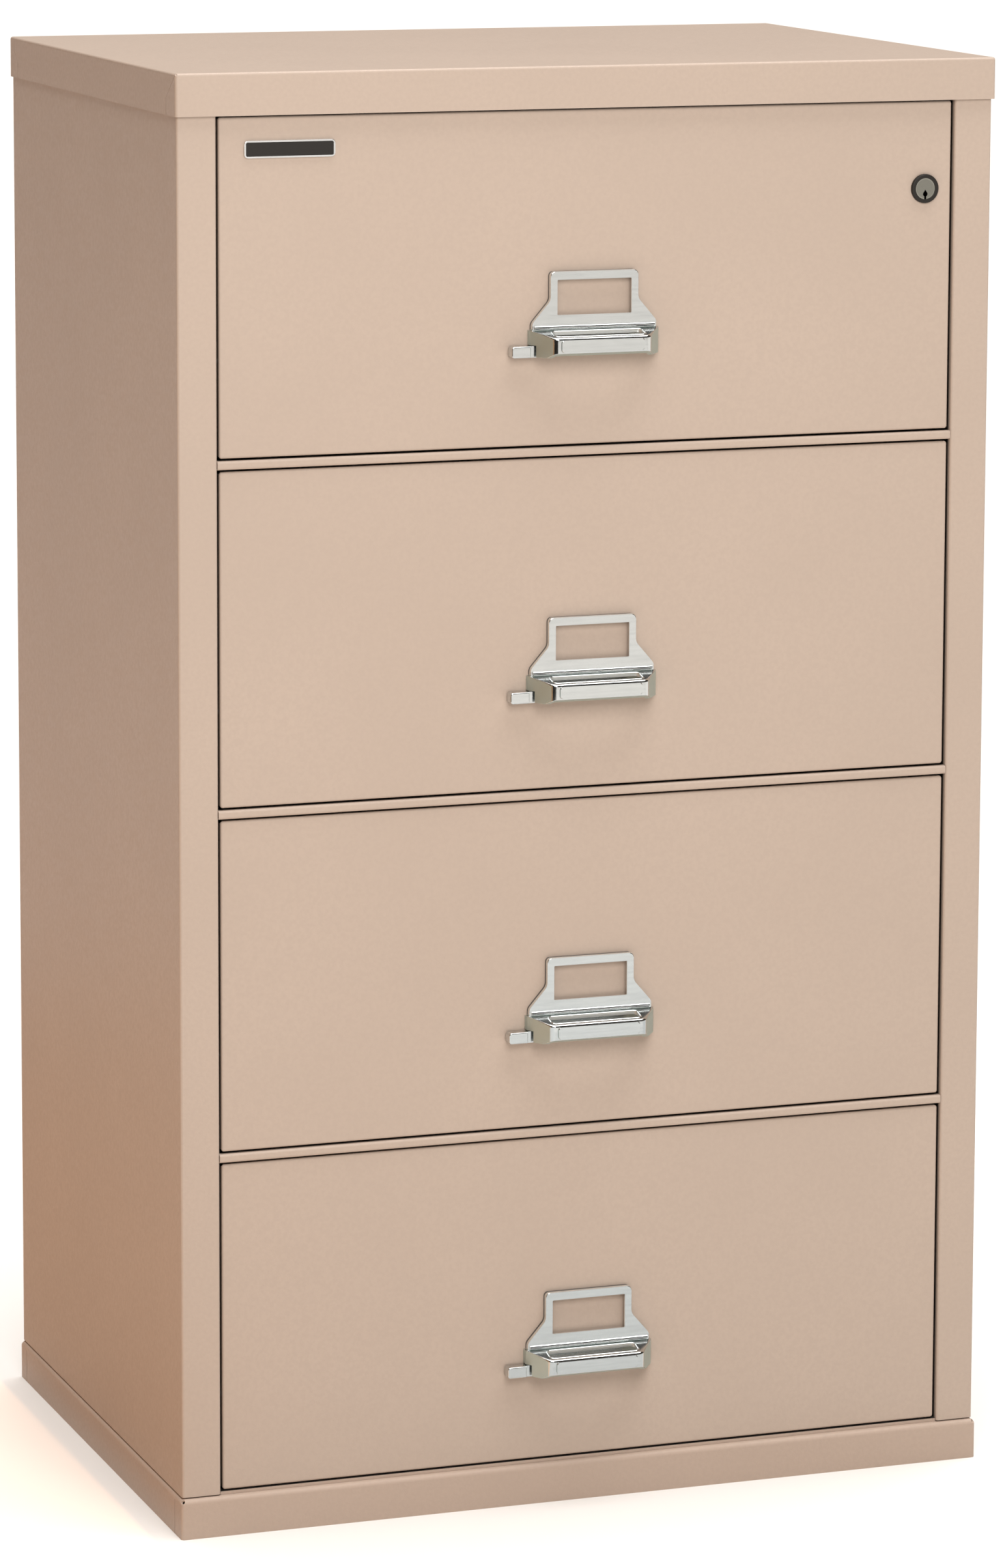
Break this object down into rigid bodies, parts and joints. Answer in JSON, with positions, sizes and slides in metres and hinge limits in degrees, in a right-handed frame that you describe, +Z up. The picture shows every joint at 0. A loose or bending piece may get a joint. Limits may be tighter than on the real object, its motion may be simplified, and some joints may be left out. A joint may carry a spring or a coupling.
{
  "type": "metal filing cabinet",
  "caption": "Lateral file cabinet of painted steel with insulated drawers, cast pull handles with card windows, thumb latches and a lock.",
  "frame": {"origin": "centre of the base plinth's footprint, at floor level", "axes": "+X to the right of someone facing the drawers, -Y towards them (drawers open along -Y), +Z up"},
  "size_m": [0.792, 0.5867, 1.34],
  "materials": {
    "tan_paint": "satin",
    "inner_paint": "satin",
    "poured_insulation": "matte",
    "zinc_steel": "satin",
    "polished_chrome": "polished",
    "black_bezel": "gloss",
    "satin_lock": "satin",
    "badge_metal": "satin"
  },
  "bodies": {
    "cabinet": {"top_cap": "tan_paint", "base_plinth": "tan_paint", "left_side_panel": "tan_paint", "right_side_panel": "tan_paint", "back_panel": "tan_paint", "top_insulation": "poured_insulation", "floor_insulation": "poured_insulation", "wall_insulation": "poured_insulation", "cabinet_slide_channels": "zinc_steel", "compartment_liner_1": "inner_paint", "compartment_liner_2": "inner_paint", "compartment_liner_3": "inner_paint", "compartment_liner_4": "inner_paint", "divider_insulation_1": "poured_insulation", "divider_insulation_2": "poured_insulation", "divider_insulation_3": "poured_insulation", "front_rail_1": "tan_paint", "front_rail_2": "tan_paint", "front_rail_3": "tan_paint"},
    "lock_bar": {"lock_bar": "zinc_steel"},
    "lock_plug": {"lock_plug": "satin_lock"},
    "drawer_1": {"drawer_1_front": "tan_paint", "drawer_1_insulation": "poured_insulation", "drawer_1_head_liner": "inner_paint", "drawer_1_tray": "inner_paint", "drawer_1_hanging_rails": "zinc_steel", "drawer_1_handle": "polished_chrome", "drawer_1_inner_slides": "zinc_steel", "lock_housing": "black_bezel", "lock_nut": "zinc_steel", "badge_plate": "badge_metal"},
    "mid_slides_1": {"drawer_1_mid_slides": "zinc_steel"},
    "thumb_latch_1": {"drawer_1_thumb_latch": "polished_chrome"},
    "drawer_2": {"drawer_2_front": "tan_paint", "drawer_2_insulation": "poured_insulation", "drawer_2_head_liner": "inner_paint", "drawer_2_tray": "inner_paint", "drawer_2_hanging_rails": "zinc_steel", "drawer_2_handle": "polished_chrome", "drawer_2_inner_slides": "zinc_steel"},
    "mid_slides_2": {"drawer_2_mid_slides": "zinc_steel"},
    "thumb_latch_2": {"drawer_2_thumb_latch": "polished_chrome"},
    "drawer_3": {"drawer_3_front": "tan_paint", "drawer_3_insulation": "poured_insulation", "drawer_3_head_liner": "inner_paint", "drawer_3_tray": "inner_paint", "drawer_3_hanging_rails": "zinc_steel", "drawer_3_handle": "polished_chrome", "drawer_3_inner_slides": "zinc_steel"},
    "mid_slides_3": {"drawer_3_mid_slides": "zinc_steel"},
    "thumb_latch_3": {"drawer_3_thumb_latch": "polished_chrome"},
    "drawer_4": {"drawer_4_front": "tan_paint", "drawer_4_insulation": "poured_insulation", "drawer_4_head_liner": "inner_paint", "drawer_4_tray": "inner_paint", "drawer_4_hanging_rails": "zinc_steel", "drawer_4_handle": "polished_chrome", "drawer_4_inner_slides": "zinc_steel"},
    "mid_slides_4": {"drawer_4_mid_slides": "zinc_steel"},
    "thumb_latch_4": {"drawer_4_thumb_latch": "polished_chrome"}
  },
  "joints": [
    {"name": "drawer_1_slide", "type": "slide", "parent": "cabinet", "child": "drawer_1", "axis": [0, -1, 0], "range_m": [0, 0.4]},
    {"name": "mid_slides_1_slide", "type": "slide", "parent": "cabinet", "child": "mid_slides_1", "axis": [0, -1, 0], "range_m": [0, 0.2]},
    {"name": "thumb_latch_1_press", "type": "slide", "parent": "drawer_1", "child": "thumb_latch_1", "axis": [1, 0, 0], "range_m": [0, 0.009], "stiffness_N_per_m": 250, "springref_m": -0.012},
    {"name": "drawer_2_slide", "type": "slide", "parent": "cabinet", "child": "drawer_2", "axis": [0, -1, 0], "range_m": [0, 0.4]},
    {"name": "mid_slides_2_slide", "type": "slide", "parent": "cabinet", "child": "mid_slides_2", "axis": [0, -1, 0], "range_m": [0, 0.2]},
    {"name": "thumb_latch_2_press", "type": "slide", "parent": "drawer_2", "child": "thumb_latch_2", "axis": [1, 0, 0], "range_m": [0, 0.009], "stiffness_N_per_m": 250, "springref_m": -0.012},
    {"name": "drawer_3_slide", "type": "slide", "parent": "cabinet", "child": "drawer_3", "axis": [0, -1, 0], "range_m": [0, 0.4]},
    {"name": "mid_slides_3_slide", "type": "slide", "parent": "cabinet", "child": "mid_slides_3", "axis": [0, -1, 0], "range_m": [0, 0.2]},
    {"name": "thumb_latch_3_press", "type": "slide", "parent": "drawer_3", "child": "thumb_latch_3", "axis": [1, 0, 0], "range_m": [0, 0.009], "stiffness_N_per_m": 250, "springref_m": -0.012},
    {"name": "drawer_4_slide", "type": "slide", "parent": "cabinet", "child": "drawer_4", "axis": [0, -1, 0], "range_m": [0, 0.4]},
    {"name": "mid_slides_4_slide", "type": "slide", "parent": "cabinet", "child": "mid_slides_4", "axis": [0, -1, 0], "range_m": [0, 0.2]},
    {"name": "thumb_latch_4_press", "type": "slide", "parent": "drawer_4", "child": "thumb_latch_4", "axis": [1, 0, 0], "range_m": [0, 0.009], "stiffness_N_per_m": 250, "springref_m": -0.012},
    {"name": "lock_turn", "type": "hinge", "parent": "drawer_1", "child": "lock_plug", "pos_m": [0.328, -0.2745, 1.2195], "axis": [0, -1, 0], "range_deg": [0, 90]},
    {"name": "lock_bar_lift", "type": "slide", "parent": "cabinet", "child": "lock_bar", "axis": [0, 0, 1], "range_m": [0, 0.01]}
  ],
  "couplings": [
    {"joint": "mid_slides_1_slide", "follows": "drawer_1_slide", "ratio": 0.5},
    {"joint": "mid_slides_2_slide", "follows": "drawer_2_slide", "ratio": 0.5},
    {"joint": "mid_slides_3_slide", "follows": "drawer_3_slide", "ratio": 0.5},
    {"joint": "mid_slides_4_slide", "follows": "drawer_4_slide", "ratio": 0.5},
    {"joint": "lock_turn", "follows": "lock_bar_lift", "rad_per_m": 157.07}
  ]
}
